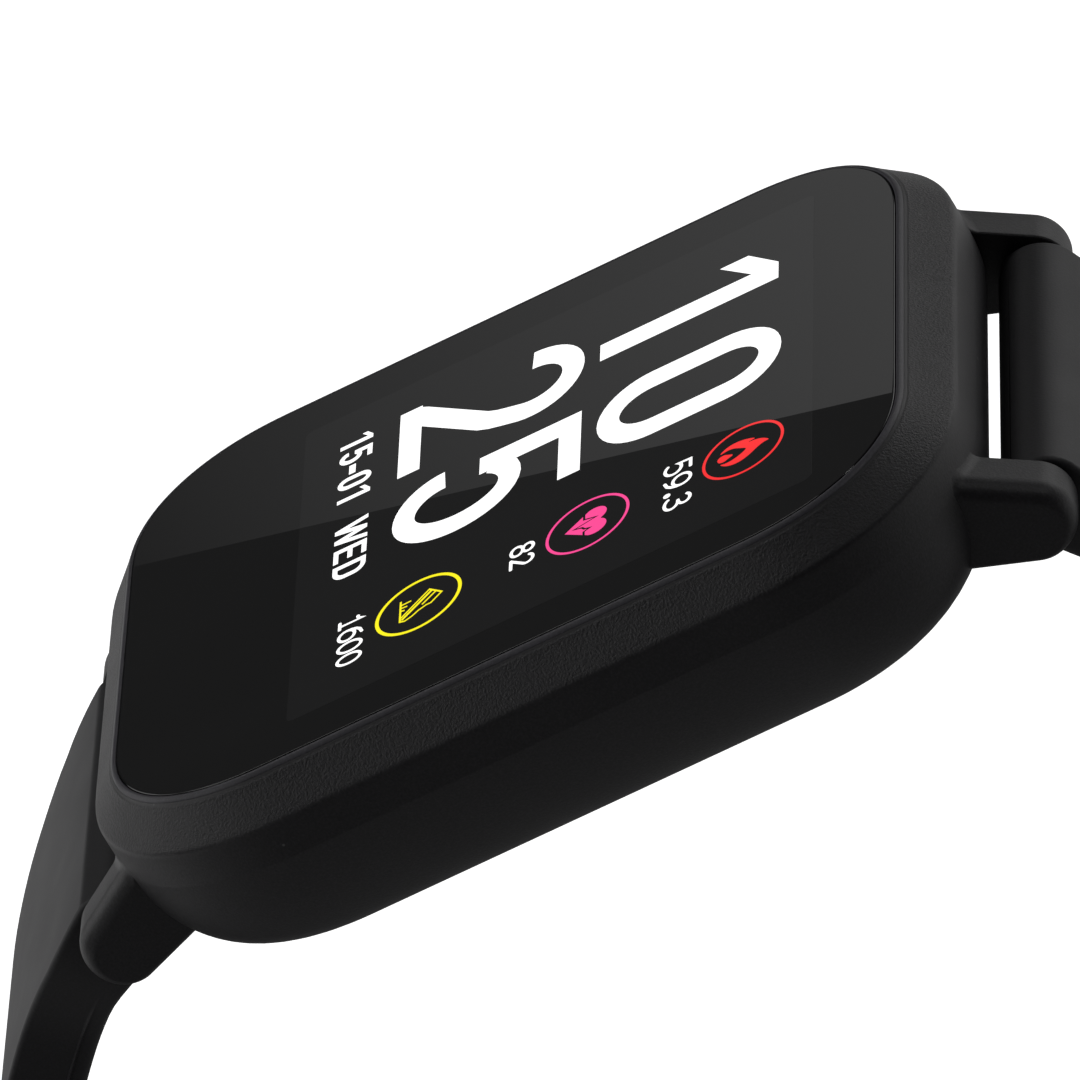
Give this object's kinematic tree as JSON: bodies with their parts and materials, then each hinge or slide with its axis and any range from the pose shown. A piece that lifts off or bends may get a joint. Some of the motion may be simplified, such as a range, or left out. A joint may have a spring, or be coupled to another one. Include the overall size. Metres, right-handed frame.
{
  "type": "fitness tracker watch",
  "caption": "Square touch-screen wrist tracker with four lugs, spring bars and an open two-piece silicone strap with a pin buckle.",
  "frame": {"origin": "middle of the flat sensor lens on the back, which rests on the wrist", "axes": "+X to 3 o'clock, +Y to 12 o'clock, +Z out of the display"},
  "size_m": [0.0346, 0.0774, 0.1166],
  "materials": {
    "case_plastic": "fine matt grain",
    "cover_glass": "polished, black printed border",
    "strap_silicone": "satin silicone",
    "display_stack": "polished",
    "backlight": "white plastic",
    "adhesive": "foam tape",
    "flex_cable": "polyimide",
    "circuit_board": "solder mask",
    "chip_plastic": "moulded epoxy",
    "inner_plastic": "moulded plastic",
    "battery_pouch": "foil pouch",
    "lead_red": "wire insulation",
    "lead_black": "wire insulation",
    "steel": "satin steel",
    "black_steel": "black coated steel",
    "gold_contact": "gold plated",
    "sensor_window": "polished tinted window",
    "back_plastic": "satin plastic",
    "seal": "silicone seal",
    "sensor_package": "clear resin over the diodes"
  },
  "bodies": {
    "watch_case": {"case_body": "case_plastic", "cover_glass": "cover_glass", "glass_adhesive": "adhesive", "touch_sensor": "display_stack", "lcd_panel": "display_stack", "backlight_unit": "backlight", "display_flex": "flex_cable", "sensor_flex": "flex_cable", "inner_frame": "inner_plastic", "main_board": "circuit_board", "processor_chip": "chip_plastic", "memory_chip": "chip_plastic", "motion_sensor_chip": "chip_plastic", "battery": "battery_pouch", "battery_pad": "adhesive", "vibration_motor": "steel", "battery_lead_positive": "lead_red", "battery_lead_negative": "lead_black", "rear_cover": "back_plastic", "rear_gasket": "seal", "sensor_lens": "sensor_window", "optical_sensor": "sensor_package", "sensor_board": "circuit_board", "charging_contact_negative": "gold_contact", "charging_contact_positive": "gold_contact", "rear_screw_1": "steel", "rear_screw_2": "steel", "rear_screw_3": "steel", "rear_screw_4": "steel", "spring_bar_12": "steel", "bar_spring_12": "steel", "spring_bar_6": "steel", "bar_spring_6": "steel"},
    "long_strap": {"strap_long": "strap_silicone"},
    "short_strap": {"strap_short": "strap_silicone", "fixed_keeper": "strap_silicone", "buckle_pin": "steel"},
    "keeper_loop": {"sliding_keeper": "strap_silicone"},
    "buckle": {"buckle_frame": "black_steel"},
    "tongue": {"buckle_tongue": "black_steel"},
    "tip_12_left": {"bar_tip_12_left": "steel"},
    "tip_12_right": {"bar_tip_12_right": "steel"},
    "tip_6_left": {"bar_tip_6_left": "steel"},
    "tip_6_right": {"bar_tip_6_right": "steel"}
  },
  "joints": [
    {"name": "short_strap_swing", "type": "hinge", "parent": "watch_case", "child": "short_strap", "pos_m": [0, 0.0219, 0.00315], "axis": [1, 0, 0], "range_deg": [-16, 110]},
    {"name": "long_strap_swing", "type": "hinge", "parent": "watch_case", "child": "long_strap", "pos_m": [0, -0.0219, 0.00315], "axis": [-1, 0, 0], "range_deg": [-16, 80]},
    {"name": "keeper_slide", "type": "slide", "parent": "short_strap", "child": "keeper_loop", "axis": [0, 0, 1], "range_m": [-0.004, 0.01]},
    {"name": "buckle_swing", "type": "hinge", "parent": "short_strap", "child": "buckle", "pos_m": [0, 0.028, -0.0719], "axis": [1, 0, 0], "range_deg": [-45, 45]},
    {"name": "tongue_lift", "type": "hinge", "parent": "buckle", "child": "tongue", "pos_m": [0, 0.028, -0.0719], "axis": [1, 0, 0], "range_deg": [0, 70]},
    {"name": "tip_12_left_press", "type": "slide", "parent": "watch_case", "child": "tip_12_left", "axis": [1, 0, 0], "range_m": [0, 0.0011], "stiffness_N_per_m": 400, "springref_m": -0.0005, "deforming": ["bar_spring_12"]},
    {"name": "tip_12_right_press", "type": "slide", "parent": "watch_case", "child": "tip_12_right", "axis": [-1, 0, 0], "range_m": [0, 0.0011], "stiffness_N_per_m": 400, "springref_m": -0.0005, "deforming": ["bar_spring_12"]},
    {"name": "tip_6_left_press", "type": "slide", "parent": "watch_case", "child": "tip_6_left", "axis": [1, 0, 0], "range_m": [0, 0.0011], "stiffness_N_per_m": 400, "springref_m": -0.0005, "deforming": ["bar_spring_6"]},
    {"name": "tip_6_right_press", "type": "slide", "parent": "watch_case", "child": "tip_6_right", "axis": [-1, 0, 0], "range_m": [0, 0.0011], "stiffness_N_per_m": 400, "springref_m": -0.0005, "deforming": ["bar_spring_6"]}
  ]
}
